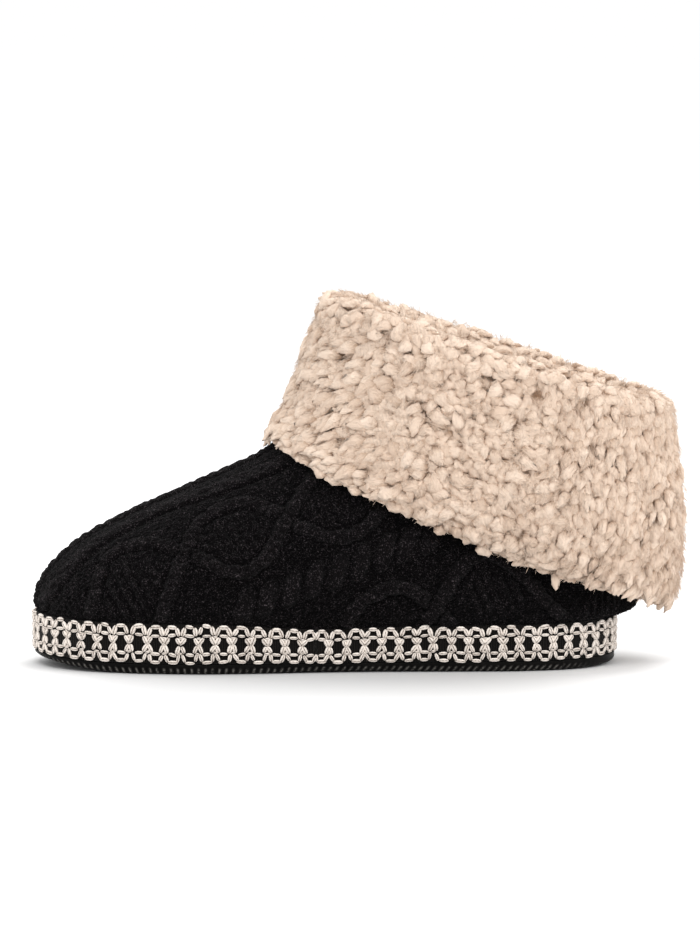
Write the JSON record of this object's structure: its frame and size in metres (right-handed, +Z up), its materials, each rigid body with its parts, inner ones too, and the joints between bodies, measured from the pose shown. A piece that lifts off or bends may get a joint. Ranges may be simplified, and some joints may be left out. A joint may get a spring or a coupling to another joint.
{
  "type": "bootie slipper",
  "caption": "Ankle-high slipper with a hollow knit upper, a deep turned-down pile cuff, a platform wrapped in braided tape and a flat rubber sole.",
  "frame": {"origin": "on the floor, under the middle of the length over all and the middle of the width", "axes": "-X towards the toe, +X towards the heel, -Y towards the inner side of the foot, +Z up"},
  "size_m": [0.2885, 0.11, 0.1638],
  "materials": {
    "sole_rubber": "black moulded rubber, satin, finely ribbed edge",
    "platform_foam": "matt black foam",
    "braided_tape": "black tape with off-white braided loops",
    "footbed_pile": "short cream pile",
    "cable_knit": "black chenille yarn in cable knit, matt",
    "cuff_pile": "deep cream curly pile, matt"
  },
  "bodies": {
    "root": {"outsole": "sole_rubber", "midsole": "platform_foam", "trim_band": "braided_tape", "insole": "footbed_pile", "upper": "cable_knit", "cuff": "cuff_pile"}
  },
  "joints": []
}
